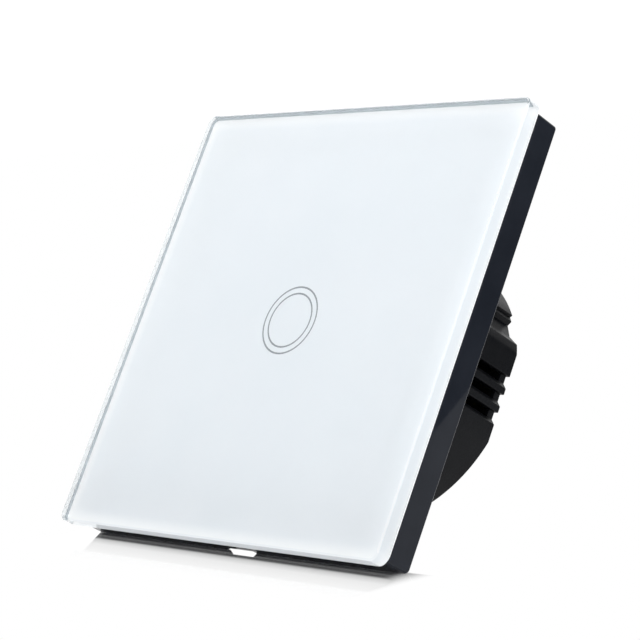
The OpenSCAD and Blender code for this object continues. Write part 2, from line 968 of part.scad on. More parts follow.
module housing_screws() {
    color(steel)
        for (at = boss_places)
            difference() {
                union() {
                    rod(at, case_screw_r, [plate_front - weld, plate_front + case_screw_l]);
                    rod(at, case_head_r, [plate_front - case_head_t, plate_front]);
                }
                for (turn = [0, 90])
                    translate([at[0], plate_front - case_head_t, at[1]])
                        rotate([0, turn, 0])
                            brick([-case_head_r / 2, case_head_r / 2], [-cut_over, slot_d], [-slot_w / 2, slot_w / 2]);
            }
}

glass_panel();
white_film();
ring_mark();
glass_tape();
panel_frame();
touch_board();
touch_spring();
light_guide();
indicator_led();
touch_chip();
pin_strip();
header_pins();
mounting_plate();
front_cover();
pin_socket();
power_board();
power_chip();
relay();
transformer_core();
transformer_coil();
capacitor();
film_capacitor();
fuse();
terminal_block();
busbars();
terminal_cage(terminal_x[0]);  // terminal_cage_1
terminal_cage(terminal_x[1]);  // terminal_cage_2
terminal_cage(terminal_x[2]);  // terminal_cage_3
terminal_screw(terminal_x[0]);  // terminal_screw_1
terminal_screw(terminal_x[1]);  // terminal_screw_2
terminal_screw(terminal_x[2]);  // terminal_screw_3
rear_housing();
housing_screws();
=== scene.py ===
import json
import math

import bmesh
import bpy
from mathutils import Matrix, Vector

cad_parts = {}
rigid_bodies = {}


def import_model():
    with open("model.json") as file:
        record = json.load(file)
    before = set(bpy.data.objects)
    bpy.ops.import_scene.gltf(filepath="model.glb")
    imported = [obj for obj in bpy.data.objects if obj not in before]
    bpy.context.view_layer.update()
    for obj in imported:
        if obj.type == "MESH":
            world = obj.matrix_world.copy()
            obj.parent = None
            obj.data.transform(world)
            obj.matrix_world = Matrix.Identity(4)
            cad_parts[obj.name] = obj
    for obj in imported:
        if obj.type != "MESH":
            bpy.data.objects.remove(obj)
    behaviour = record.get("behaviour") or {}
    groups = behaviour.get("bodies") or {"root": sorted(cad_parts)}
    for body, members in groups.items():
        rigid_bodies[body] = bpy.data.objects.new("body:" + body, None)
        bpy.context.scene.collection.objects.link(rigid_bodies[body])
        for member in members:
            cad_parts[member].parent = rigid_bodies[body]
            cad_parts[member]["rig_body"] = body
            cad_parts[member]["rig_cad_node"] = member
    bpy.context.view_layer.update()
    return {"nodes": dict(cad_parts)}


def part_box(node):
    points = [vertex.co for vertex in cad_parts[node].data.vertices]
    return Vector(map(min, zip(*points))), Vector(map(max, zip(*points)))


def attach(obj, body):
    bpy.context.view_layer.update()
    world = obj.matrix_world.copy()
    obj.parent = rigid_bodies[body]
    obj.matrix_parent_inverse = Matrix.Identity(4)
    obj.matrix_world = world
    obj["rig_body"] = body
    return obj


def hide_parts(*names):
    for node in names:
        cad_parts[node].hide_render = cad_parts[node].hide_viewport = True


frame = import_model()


# Rear housing: the round cup that sits in the wall box, one black moulding with a fine spark-eroded texture.
# Its sides carry three sloped vents and a grip notch, and its back shows the ejector pins and the gate.
MM = 0.001
NOISE_LOW, NOISE_HIGH = 0.3, 0.7


def only(piece):
    """Select one piece alone and make it active."""
    bpy.ops.object.select_all(action="DESELECT")
    piece.select_set(True)
    bpy.context.view_layer.objects.active = piece


def applied(piece, modifier):
    """Apply a modifier to its piece."""
    only(piece)
    bpy.ops.object.modifier_apply(modifier=modifier.name)


def even_shading(piece, crease=35):
    """Smooth the round faces and keep the flat ones flat, with a crease past the angle in degrees."""
    only(piece)
    bpy.ops.object.shade_smooth_by_angle(angle=math.radians(crease))
    weights = piece.modifiers.new("flat faces stay flat", "WEIGHTED_NORMAL")
    weights.keep_sharp = True
    applied(piece, weights)


def softened(node, name, radius, steps=2):
    """Copy of a CAD piece with its corners merged and a small radius on its sharp edges."""
    weld, level, sharp, crease = 0.002 * MM, math.radians(0.3), math.radians(32), 40
    source = frame["nodes"][node]
    piece = source.copy()
    piece.data = source.data.copy()
    piece.name = piece.data.name = name
    body = piece["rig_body"]
    del piece["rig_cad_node"], piece["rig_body"]
    piece.parent = None
    bpy.context.scene.collection.objects.link(piece)
    only(piece)
    bpy.ops.object.mode_set(mode="EDIT")
    bpy.ops.mesh.select_all(action="SELECT")
    bpy.ops.mesh.customdata_custom_splitnormals_clear()
    bpy.ops.mesh.remove_doubles(threshold=weld)
    bpy.ops.mesh.dissolve_limited(angle_limit=level)
    bpy.ops.object.mode_set(mode="OBJECT")
    edge = piece.modifiers.new("edge radius", "BEVEL")
    edge.width = radius * MM
    edge.segments = steps
    edge.limit_method = "ANGLE"
    edge.angle_limit = sharp
    edge.use_clamp_overlap = False
    applied(piece, edge)
    even_shading(piece, crease)
    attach(piece, body)
    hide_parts(node)
    return piece


def wear(piece, finish):
    """Give a piece its finish in every slot, with a new slot if it has none."""
    if not piece.data.materials:
        piece.data.materials.append(finish)
    for place in piece.material_slots:
        place.material = finish


def new_finish(name):
    """Empty material: its nodes, links, main shader and the piece's own coordinates."""
    finish = bpy.data.materials.new(name)
    finish.use_nodes = True
    nodes, links = finish.node_tree.nodes, finish.node_tree.links
    place = nodes.new("ShaderNodeTexCoord").outputs["Object"]
    return finish, nodes, links, nodes["Principled BSDF"], place


def clouds(nodes, links, place, size, detail=3.0):
    """Noise whose patches are about size millimetres across."""
    noise = nodes.new("ShaderNodeTexNoise")
    noise.inputs["Scale"].default_value = 1 / (size * MM)
    noise.inputs["Detail"].default_value = detail
    links.new(place, noise.inputs["Vector"])
    return noise.outputs["Fac"]


def between(nodes, links, value, low, high):
    """A value spread over a range, as from the noise."""
    spread = nodes.new("ShaderNodeMapRange")
    spread.inputs["From Min"].default_value = NOISE_LOW
    spread.inputs["From Max"].default_value = NOISE_HIGH
    spread.inputs["To Min"].default_value = low
    spread.inputs["To Max"].default_value = high
    links.new(value, spread.inputs["Value"])
    return spread.outputs["Result"]


def tones(nodes, links, value, low, high):
    """A colour between two tones, as from the noise."""
    ramp = nodes.new("ShaderNodeValToRGB")
    first, last = ramp.color_ramp.elements
    first.position, last.position = NOISE_LOW, NOISE_HIGH
    first.color, last.color = (*low, 1), (*high, 1)
    links.new(value, ramp.inputs["Fac"])
    return ramp.outputs["Color"]


def roughen(nodes, links, shader, height, depth, strength=1.0):
    """Raise the surface by up to depth millimetres where height is 1."""
    bump = nodes.new("ShaderNodeBump")
    bump.inputs["Strength"].default_value = strength
    bump.inputs["Distance"].default_value = depth * MM
    links.new(height, bump.inputs["Height"])
    links.new(bump.outputs["Normal"], shader.inputs["Normal"])


def moulded(name, low, high, rough, grain, depth, strength=0.5, sheen=0.28):
    """Moulded plastic: slightly uneven tone and gloss over a grain of the given size."""
    flow_patch, gloss_patch, grain_detail = 7.0, 2.5, 2.0
    finish, nodes, links, shader, place = new_finish(name)
    flow = clouds(nodes, links, place, flow_patch)
    gloss = clouds(nodes, links, place, gloss_patch)
    links.new(tones(nodes, links, flow, low, high), shader.inputs["Base Color"])
    links.new(between(nodes, links, gloss, *rough), shader.inputs["Roughness"])
    roughen(nodes, links, shader, clouds(nodes, links, place, grain, grain_detail), depth, strength)
    shader.inputs["Specular IOR Level"].default_value = sheen
    return finish


def add_mesh(name, verts, edges):
    """New piece from a drawn line, ready to be screwed, spun or filled."""
    mesh = bpy.data.meshes.new(name)
    mesh.from_pydata([tuple(c * MM for c in v) for v in verts], edges, [])
    piece = bpy.data.objects.new(name, mesh)
    bpy.context.scene.collection.objects.link(piece)
    only(piece)
    return piece


def turned(name, outline, steps=48):
    """Round piece about the Y axis from an outline of radius and height in millimetres."""
    weld = 0.001 * MM
    count = len(outline)
    piece = add_mesh(name, [(r, y, 0) for r, y in outline], [(i, i + 1) for i in range(count - 1)])
    bpy.ops.object.mode_set(mode="EDIT")
    bpy.ops.mesh.select_all(action="SELECT")
    bpy.ops.mesh.spin(steps=steps, angle=math.tau, center=(0, 0, 0), axis=(0, 1, 0))
    bpy.ops.mesh.select_all(action="SELECT")
    bpy.ops.mesh.remove_doubles(threshold=weld)
    bpy.ops.mesh.normals_make_consistent(inside=False)
    bpy.ops.object.mode_set(mode="OBJECT")
    return piece


def cut_away(piece, tool):
    """Cut a tool's shape out of a piece."""
    cut = piece.modifiers.new("cut", "BOOLEAN")
    cut.operation = "DIFFERENCE"
    cut.solver = "EXACT"
    cut.object = tool
    applied(piece, cut)
    bpy.data.objects.remove(tool)


housing_black = moulded(
    "housing_black",
    (0.0038, 0.0045, 0.0060),
    (0.0050, 0.0058, 0.0075),
    (0.36, 0.46),
    grain=0.28,
    depth=0.04,
    strength=0.9,
    sheen=0.14,
)
housing_crease = 40
housing = softened("rear_housing", "module_housing", 0.12)
back_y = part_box("rear_housing")[1].y / MM
past_y = back_y + 1
mark_steps = 32
pin_r, pin_floor_y = 1.6, back_y - 0.12
for x, z in ((-13, 13), (13, 13), (-17, -5), (17, -5), (0, 19)):
    pin_mark = turned(
        "ejector_pin",
        [(0, pin_floor_y), (pin_r, pin_floor_y), (pin_r, past_y), (0, past_y)],
        mark_steps,
    )
    pin_mark.data.transform(Matrix.Translation((x * MM, 0, z * MM)))
    cut_away(housing, pin_mark)
stub_r, stub_y = 0.5, back_y - 0.1
dish_inner_r, dish_outer_r, dish_rim_r, dish_y = 0.7, 1.7, 2.1, back_y - 0.35
gate_mark = turned(
    "mould_gate",
    [(stub_r, stub_y), (dish_inner_r, dish_y), (dish_outer_r, dish_y), (dish_rim_r, past_y),
     (stub_r, past_y), (stub_r, stub_y)],
    mark_steps,
)
cut_away(housing, gate_mark)
even_shading(housing, housing_crease)
wear(housing, housing_black)


# Terminal block: a dark grey insulating moulding at the bottom of the housing, with a chamber for each clamp.
# It is seated on the round wall before the power board closes it in.
block_grey = moulded("block_grey", (0.036, 0.036, 0.040), (0.052, 0.052, 0.057), (0.45, 0.6), 0.2, 0.015)
block = softened("terminal_block", "clamp_block", 0.1)
wear(block, block_grey)


# Clamp cages and busbars: each cage is bent from zinc plated steel strip and rides up its screw to trap the
# wire against a brass busbar that is soldered to the power board.
def plated(name, low, high, rough, spangle, lines):
    """Plated metal: a faint crystal pattern, with fine drawing lines across it."""
    line_stretch, line_depth, line_show = (1, 1, 0.04), 0.004, 0.35
    finish, nodes, links, shader, place = new_finish(name)
    crystals = nodes.new("ShaderNodeTexVoronoi")
    crystals.inputs["Scale"].default_value = 1 / (spangle * MM)
    links.new(place, crystals.inputs["Vector"])
    grey = nodes.new("ShaderNodeSeparateColor")
    links.new(crystals.outputs["Color"], grey.inputs["Color"])
    links.new(tones(nodes, links, grey.outputs["Red"], low, high), shader.inputs["Base Color"])
    links.new(between(nodes, links, grey.outputs["Green"], *rough), shader.inputs["Roughness"])
    stretch = nodes.new("ShaderNodeMapping")
    stretch.inputs["Scale"].default_value = line_stretch
    links.new(place, stretch.inputs["Vector"])
    drawing = clouds(nodes, links, stretch.outputs["Vector"], lines)
    roughen(nodes, links, shader, drawing, line_depth, line_show)
    shader.inputs["Metallic"].default_value = 1
    return finish


zinc_steel = plated("zinc_steel", (0.60, 0.61, 0.62), (0.65, 0.66, 0.67), (0.28, 0.34), 0.9, 0.12)
pin_brass = plated("pin_brass", (0.66, 0.48, 0.20), (0.80, 0.62, 0.30), (0.22, 0.34), 0.9, 0.1)
for count in (1, 2, 3):
    cage = softened(f"terminal_cage_{count}", f"clamp_cage_{count}", 0.18, 3)
    wear(cage, zinc_steel)
bars = softened("busbars", "clamp_busbars", 0.12)
wear(bars, pin_brass)


# Terminal screws: zinc plated steel with a slotted cheese head. A driver reaches each one through a hole in
# the back of the housing. The thread is rolled, 0.5 mm from crest to crest.
def threaded_rod(name, radius, depth, pitch, tip, end):
    """Threaded shank along Y from tip to end, its crests at the radius."""
    crest_start, crest_end, facets, weld = 0.4, 0.6, 20, 0.001 * MM
    root = radius - depth
    piece = add_mesh(
        name,
        [(root, 0, 0), (radius, pitch * crest_start, 0), (radius, pitch * crest_end, 0), (root, pitch, 0)],
        [(0, 1), (1, 2), (2, 3)],
    )
    winding = piece.modifiers.new("thread", "SCREW")
    winding.axis = "Y"
    winding.screw_offset = pitch * MM
    winding.iterations = math.ceil((end - tip) / pitch) + 1
    winding.steps = winding.render_steps = facets
    winding.use_merge_vertices = True
    winding.merge_threshold = weld
    applied(piece, winding)
    piece.data.transform(Matrix.Translation((0, (tip - pitch) * MM, 0)))
    bpy.ops.object.mode_set(mode="EDIT")
    for height, upper in ((tip, False), (end, True)):
        bpy.ops.mesh.select_all(action="SELECT")
        bpy.ops.mesh.remove_doubles(threshold=weld)
        bpy.ops.mesh.bisect(
            plane_co=(0, height * MM, 0),
            plane_no=(0, 1, 0),
            use_fill=True,
            clear_inner=not upper,
            clear_outer=upper,
        )
    bpy.ops.mesh.select_all(action="SELECT")
    bpy.ops.mesh.normals_make_consistent(inside=False)
    bpy.ops.object.mode_set(mode="OBJECT")
    return piece


def sized_block(size, centre, turn=0.0):
    """New block in millimetres, turned about the Y axis."""
    bpy.ops.object.select_all(action="DESELECT")
    bpy.ops.mesh.primitive_cube_add(size=1)
    piece = bpy.context.object
    piece.data.transform(Matrix.Diagonal((*(s * MM for s in size), 1)))
    piece.data.transform(Matrix.Rotation(math.radians(turn), 4, "Y"))
    piece.data.transform(Matrix.Translation([c * MM for c in centre]))
    return piece


def joined(pieces, name):
    """Join pieces into one."""
    bpy.ops.object.select_all(action="DESELECT")
    for piece in pieces:
        piece.select_set(True)
    bpy.context.view_layer.objects.active = pieces[0]
    bpy.ops.object.join()
    pieces[0].name = pieces[0].data.name = name
    return pieces[0]


def drive_screw(pattern, name, place, body, node):
    """Set a copy of a pattern screw in its place, with its own mesh."""
    screw = pattern.copy()
    screw.data = pattern.data.copy()
    screw.name = screw.data.name = name
    screw.data.transform(place)
    bpy.context.scene.collection.objects.link(screw)
    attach(screw, body)
    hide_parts(node)
    wear(screw, screw_steel)


screw_steel = plated("screw_steel", (0.52, 0.53, 0.54), (0.64, 0.65, 0.66), (0.24, 0.36), 0.7, 0.09)
low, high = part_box("terminal_screw_2")
head_r = (high.x - low.x) / 2 / MM
tip_y, top_y = low.y / MM, high.y / MM
head_y = top_y - 1.7
under_bevel, rim_h, crown_in, crown_h = 0.15, 0.3, 0.08, 0.1
slot_long, slot_cut, slot_w = 2.4 * head_r, 1.2, 0.7
shank_r, thread_depth, thread_pitch, shank_in_head = 1.5, 0.25, 0.5, 0.1
screw_head = turned(
    "terminal_screw_head",
    [(0, head_y), (head_r - under_bevel, head_y), (head_r, head_y + under_bevel), (head_r, top_y - rim_h),
     (head_r - crown_in, top_y - crown_h), (head_r - rim_h, top_y), (0, top_y)],
)
cut_away(screw_head, sized_block((slot_long, slot_cut, slot_w), (0, top_y, 0)))
screw_shank = threaded_rod(
    "terminal_screw_shank", shank_r, thread_depth, thread_pitch, tip_y, head_y + shank_in_head
)
clamp_pattern = joined([screw_head, screw_shank], "terminal_screw_pattern")
even_shading(clamp_pattern)
for count in (1, 2, 3):
    low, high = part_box(f"terminal_screw_{count}")
    axis = Matrix.Translation(((low.x + high.x) / 2, 0, (low.z + high.z) / 2))
    drive_screw(clamp_pattern, f"clamp_screw_{count}", axis, f"screw_{count}", f"terminal_screw_{count}")
bpy.data.objects.remove(clamp_pattern)


# Power board: green laminate cut to the round housing, with copper tracks under the solder mask. It rests on
# the moulded ribs and the rim of the terminal block.
def calc(nodes, links, operation, *terms):
    """Result of a sum on sockets and plain numbers."""
    step = nodes.new("ShaderNodeMath")
    step.operation = operation
    for entry, term in zip(step.inputs, terms):
        if isinstance(term, (int, float)):
            entry.default_value = term
        else:
            links.new(term, entry)
    return step.outputs["Value"]


def fading(nodes, links, value, start, end, soft=False):
    """Share that goes from 0 at start to 1 at end."""
    spread = nodes.new("ShaderNodeMapRange")
    spread.interpolation_type = "SMOOTHSTEP" if soft else "LINEAR"
    spread.inputs["From Min"].default_value = start
    spread.inputs["From Max"].default_value = end
    links.new(value, spread.inputs["Value"])
    return spread.outputs["Result"]


def blended(nodes, links, share, under, over):
    """Colour socket with a plain colour laid over it by a share."""
    mix = nodes.new("ShaderNodeMix")
    mix.data_type = "RGBA"
    mix.inputs["B"].default_value = (*over, 1)
    links.new(share, mix.inputs["Factor"])
    links.new(under, mix.inputs["A"])
    return mix.outputs["Result"]


def axes(nodes, links, place):
    """The X, Y and Z of a place."""
    split = nodes.new("ShaderNodeSeparateXYZ")
    links.new(place, split.inputs["Vector"])
    return split.outputs


def laminate(name, mask_low, mask_high, track, pad):
    """Circuit board: fields of fine tracks and plain copper under the mask, with tinned pads."""
    field, mask_patch, gloss_patch, rough = 6.5, 9.0, 1.1, (0.26, 0.42)
    lane_pitch, lane_edge, lane_core = 0.5 * MM, 0.20 * MM, 0.15 * MM
    pad_pitch, pad_edge, pad_core = 4.5, 0.17, 0.14
    upright_over, tracked_over, plain_over = 0.5, 0.4, 0.66
    track_height, track_show = 0.03, 0.6
    finish, nodes, links, shader, place = new_finish(name)
    fields = nodes.new("ShaderNodeTexVoronoi")
    fields.distance = "CHEBYCHEV"
    fields.inputs["Scale"].default_value = 1 / (field * MM)
    links.new(place, fields.inputs["Vector"])
    kind = nodes.new("ShaderNodeSeparateColor")
    links.new(fields.outputs["Color"], kind.inputs["Color"])
    upright = calc(nodes, links, "GREATER_THAN", kind.outputs["Red"], upright_over)
    tracked = calc(nodes, links, "GREATER_THAN", kind.outputs["Green"], tracked_over)
    plain = calc(nodes, links, "GREATER_THAN", kind.outputs["Blue"], plain_over)
    spot = axes(nodes, links, place)
    lanes = nodes.new("ShaderNodeMix")
    links.new(upright, lanes.inputs["Factor"])
    for way, entry in (("X", "A"), ("Z", "B")):
        swing = calc(nodes, links, "PINGPONG", spot[way], lane_pitch)
        links.new(fading(nodes, links, swing, lane_edge, lane_core), lanes.inputs[entry])
    tracks = calc(nodes, links, "MULTIPLY", lanes.outputs["Result"], tracked)
    copper = calc(nodes, links, "MAXIMUM", tracks, plain)
    dots = nodes.new("ShaderNodeTexVoronoi")
    dots.inputs["Scale"].default_value = 1 / (pad_pitch * MM)
    links.new(place, dots.inputs["Vector"])
    tin = fading(nodes, links, dots.outputs["Distance"], pad_edge, pad_core)
    mask = tones(nodes, links, clouds(nodes, links, place, mask_patch), mask_low, mask_high)
    board = blended(nodes, links, copper, mask, track)
    gloss = clouds(nodes, links, place, gloss_patch)
    links.new(blended(nodes, links, tin, board, pad), shader.inputs["Base Color"])
    links.new(tin, shader.inputs["Metallic"])
    links.new(between(nodes, links, gloss, *rough), shader.inputs["Roughness"])
    roughen(nodes, links, shader, copper, track_height, track_show)
    return finish


circuit_board = laminate(
    "circuit_board", (0.008, 0.065, 0.032), (0.012, 0.085, 0.042), (0.018, 0.125, 0.058), (0.62, 0.62, 0.60)
)
wear(frame["nodes"]["power_board"], circuit_board)


# Relay: a sealed dark blue case that switches the lamp, soldered to the back of the power board.
# The lid is glued into the cup, which leaves a fine line round it.
relay_case = moulded("relay_case", (0.020, 0.034, 0.085), (0.030, 0.048, 0.115), (0.3, 0.42), 0.3, 0.01)
relay = softened("relay", "relay_case", 0.45, 4)
low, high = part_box("relay")
middle = (low + high) / 2
lid_y, cup_y = low.y + 1.2 * MM, low.y + 1.4 * MM
cup_share_x, cup_share_z, on_line = 0.985, 0.975, 0.05 * MM
only(relay)
bpy.ops.object.mode_set(mode="EDIT")
for seam_y in (lid_y, cup_y):
    bpy.ops.mesh.select_all(action="SELECT")
    bpy.ops.mesh.bisect(plane_co=(0, seam_y, 0), plane_no=(0, 1, 0))
bpy.ops.object.mode_set(mode="OBJECT")
for vert in relay.data.vertices:
    if abs(vert.co.y - cup_y) < on_line:
        vert.co.x = middle.x + (vert.co.x - middle.x) * cup_share_x
        vert.co.z = middle.z + (vert.co.z - middle.z) * cup_share_z
wear(relay, relay_case)


# Transformer: a pressed ferrite core round a wound bobbin, wrapped in yellow polyester tape.
# The core is dull and slightly porous, and the tape shows its laps.
ferrite = moulded("ferrite", (0.030, 0.030, 0.033), (0.055, 0.054, 0.056), (0.5, 0.7), 0.4, 0.03)
core = softened("transformer_core", "ferrite_core", 0.25)
wear(core, ferrite)

tape_low, tape_high, tape_rough = (0.52, 0.36, 0.03), (0.68, 0.50, 0.06), (0.2, 0.35)
lap_scale, lap_wander, lap_height, lap_show, tape_patch = 9.0, 0.4, 0.05, 0.7, 1.5
winding_tape, nodes, links, shader, place = new_finish("winding_tape")
laps = nodes.new("ShaderNodeTexWave")
laps.bands_direction = "Y"
laps.wave_profile = "SAW"
laps.inputs["Scale"].default_value = 1 / (lap_scale * MM)
laps.inputs["Distortion"].default_value = lap_wander
links.new(place, laps.inputs["Vector"])
tape_gloss = clouds(nodes, links, place, tape_patch)
links.new(tones(nodes, links, laps.outputs["Fac"], tape_low, tape_high), shader.inputs["Base Color"])
links.new(between(nodes, links, tape_gloss, *tape_rough), shader.inputs["Roughness"])
roughen(nodes, links, shader, laps.outputs["Fac"], lap_height, lap_show)
coil = softened("transformer_coil", "taped_winding", 0.6, 4)
wear(coil, winding_tape)


# Smoothing capacitor: an aluminium can in a shrunk dark blue sleeve, rolled in near its rubber bung.
# The sleeve laps over the top edge and leaves the scored vent bare.
low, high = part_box("capacitor")
can_r = (high.x - low.x) / 2 / MM
foot, top = low.y / MM, high.y / MM
neck_r = can_r - 0.35
vent_r, vent_y = can_r - 0.9, top - 0.15
score_long, score_cut, score_w = 2 * can_r - 2.4, 0.3, 0.18
can = turned(
    "smoothing_capacitor",
    [(0, foot), (can_r - 0.5, foot), (can_r - 0.1, foot + 0.3), (can_r, foot + 0.7), (can_r, foot + 1.3),
     (neck_r, foot + 1.7), (neck_r, foot + 2.0), (can_r, foot + 2.4), (can_r, top - 0.5),
     (can_r - 0.15, top - 0.15), (can_r - 0.5, top), (can_r - 0.85, top - 0.02), (vent_r, vent_y),
     (0, vent_y)],
    64,
)
for turn in (0, 60, 120):
    cut_away(can, sized_block((score_long, score_cut, score_w), (0, vent_y, 0), turn))
even_shading(can)
can_axis = Vector(((low.x + high.x) / 2, 0, (low.z + high.z) / 2))
can.data.transform(Matrix.Translation(can_axis))
sleeve = moulded("capacitor_sleeve", (0.012, 0.018, 0.045), (0.018, 0.026, 0.060), (0.22, 0.32), 0.6, 0.012)
vent_metal = plated("capacitor_vent", (0.66, 0.67, 0.68), (0.76, 0.77, 0.78), (0.28, 0.38), 0.8, 0.1)
can.data.materials.append(sleeve)
can.data.materials.append(vent_metal)
for face in can.data.polygons:
    across = (face.center - can_axis).xz.length
    face.material_index = int(across < vent_r * MM and face.center.y > (top - 1) * MM)
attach(can, "base")
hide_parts("capacitor")


# Film capacitor and fuse: the capacitor is potted in a mustard case, and the fuse is a ceramic tube between
# two plated caps. Both stand on the back of the power board.
film_case = moulded("film_capacitor_case", (0.47, 0.33, 0.06), (0.56, 0.41, 0.09), (0.25, 0.38), 0.8, 0.015)
film_capacitor = softened("film_capacitor", "potted_capacitor", 0.5, 4)
wear(film_capacitor, film_case)

low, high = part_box("fuse")
cap_r, length = (high.x - low.x) / 2 / MM, (high.z - low.z) / MM
tube_r, cap_edge, cap_long, cap_lip = cap_r - 0.14, 0.2, 2.0, 0.1
fuse = turned(
    "ceramic_fuse",
    [(0, 0), (cap_r - cap_edge, 0), (cap_r, cap_edge), (cap_r, cap_long - cap_lip), (tube_r, cap_long),
     (tube_r, length - cap_long), (cap_r, length - cap_long + cap_lip), (cap_r, length - cap_edge),
     (cap_r - cap_edge, length), (0, length)],
)
even_shading(fuse)
fuse.data.transform(Matrix.Rotation(math.radians(90), 4, "X"))
fuse.data.transform(Matrix.Translation(((low.x + high.x) / 2, (low.y + high.y) / 2, low.z)))
fuse_ceramic = moulded("fuse_ceramic", (0.58, 0.55, 0.46), (0.66, 0.63, 0.55), (0.35, 0.5), 0.3, 0.012)
fuse.data.materials.append(fuse_ceramic)
fuse.data.materials.append(screw_steel)
for face in fuse.data.polygons:
    from_end = min(face.center.z - low.z, high.z - face.center.z)
    face.material_index = int(from_end < (cap_long - cap_lip / 2) * MM)
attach(fuse, "base")
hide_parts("fuse")


# Control chip: a moulded epoxy package on the front of the power board.
# The mould leaves a matt face and slightly rounded edges.
chip_black = moulded("chip_black", (0.014, 0.014, 0.015), (0.022, 0.022, 0.023), (0.5, 0.65), 0.12, 0.01)
power_chip = softened("power_chip", "control_chip", 0.15)
wear(power_chip, chip_black)


# Front cover and pin socket: the black cover closes the housing, and its round hub fills the plate's hole.
# The socket's five square holes come up through it to take the pins of the panel.
cover = softened("front_cover", "module_cover", 0.12)
wear(cover, housing_black)
black_nylon = moulded("black_nylon", (0.012, 0.012, 0.013), (0.018, 0.018, 0.019), (0.38, 0.5), 0.25, 0.01)
socket = softened("pin_socket", "panel_socket", 0.08)
wear(socket, black_nylon)


# Mounting plate: zinc plated steel, stamped flat with a hole for the hub and a slot for a wall screw on each
# side. The stamped edges are slightly rolled.
plate = softened("mounting_plate", "wall_plate", 0.12)
wear(plate, zinc_steel)


# Housing screws: four thread-forming screws with pan heads and cross recesses, driven through the plate into
# the bosses of the housing. Each has stopped at its own angle.
low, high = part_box("housing_screws")
head_top, shank_end = low.y / MM, high.y / MM
seat = head_top + 0.9
pan_r = 2.0
cross_long, cross_cut, cross_w = 2.1, 1.1, 0.55
bore_r, form_depth, form_pitch, shank_in_head = 1.0, 0.22, 0.8, 0.1
pan_head = turned(
    "case_screw_head",
    [(0, seat), (pan_r - 0.05, seat), (pan_r, seat - 0.1), (pan_r - 0.03, seat - 0.35),
     (pan_r - 0.25, seat - 0.68), (pan_r - 0.7, seat - 0.85), (0, head_top)],
)
for turn in (0, 90):
    cut_away(pan_head, sized_block((cross_long, cross_cut, cross_w), (0, head_top, 0), turn))
forming_shank = threaded_rod(
    "case_screw_shank", bore_r, form_depth, form_pitch, seat - shank_in_head, shank_end
)
case_pattern = joined([pan_head, forming_shank], "case_screw_pattern")
even_shading(case_pattern)
end_face, one_shank, stop_angle = 0.01 * MM, 4 * MM, 37
shanks = []
for vert in frame["nodes"]["housing_screws"].data.vertices:
    if vert.co.y > high.y - end_face:
        shank = next((s for s in shanks if (s[0] - vert.co).length < one_shank), None)
        if shank is None:
            shanks.append([vert.co.copy()])
        else:
            shank.append(vert.co.copy())
for count, ring in enumerate(shanks, 1):
    x, z = ((min(way) + max(way)) / 2 for way in zip(*(v.xz for v in ring)))
    place = Matrix.Translation((x, 0, z)) @ Matrix.Rotation(math.radians(stop_angle * count), 4, "Y")
    drive_screw(case_pattern, f"case_screw_{count}", place, "base", "housing_screws")
bpy.data.objects.remove(case_pattern)


# Panel frame: a shallow black moulding with glossy outer walls. Ribs inside grip the plate's edge, a deck
# carries the glass, and a slot in the bottom edge takes a screwdriver to pry the panel off.
frame_black = moulded(
    "frame_black",
    (0.0110, 0.0132, 0.0184),
    (0.0145, 0.0170, 0.0230),
    (0.025, 0.045),
    grain=0.5,
    depth=0.003,
    strength=0.2,
    sheen=0.15,
)
panel_frame = softened("panel_frame", "glass_frame", 0.12)
wear(panel_frame, frame_black)


# Touch board: the same green laminate, riveted to the deck by four melted posts. Its chip, the small
# resistors and capacitors, and the pins of the plug are soldered on the side that faces the wall.
wear(frame["nodes"]["touch_board"], circuit_board)
chip = softened("touch_chip", "touch_controller", 0.15)
wear(chip, chip_black)


def rounded_block(name, size, centre, edge, steps=2):
    """Small block with rounded edges, in millimetres."""
    piece = sized_block(size, centre)
    piece.name = piece.data.name = name
    bpy.ops.object.mode_set(mode="EDIT")
    bpy.ops.mesh.select_all(action="SELECT")
    bpy.ops.mesh.bevel(offset=edge * MM, segments=steps, affect="EDGES")
    bpy.ops.object.mode_set(mode="OBJECT")
    return piece


board_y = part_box("touch_board")[1].y / MM
low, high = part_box("touch_chip")
chip_z = (low.z + high.z) / 2 / MM
leg_row = (high.z - low.z) / 2 / MM + 0.35
leg_w, leg_t, leg_edge = 0.42, 0.16, 0.05
foot_long, foot_y, rise_long, rise_y, rise_in = 0.75, board_y + 0.09, 0.5, board_y + 0.3, 0.3
legs = []
for side in (-1, 1):
    for x in (-1.9, -0.63, 0.63, 1.9):
        z = chip_z + side * leg_row
        legs.append(rounded_block("leg", (leg_w, leg_t, foot_long), (x, foot_y, z), leg_edge))
        rise_at = (x, rise_y, z - side * rise_in)
        legs.append(rounded_block("leg", (leg_w, rise_long, leg_t), rise_at, leg_edge))
chip_legs = joined(legs, "touch_controller_legs")
tinned_lead = plated("tinned_lead", (0.60, 0.60, 0.59), (0.70, 0.70, 0.69), (0.25, 0.38), 0.5, 0.08)
even_shading(chip_legs)
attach(chip_legs, "panel")
wear(chip_legs, tinned_lead)

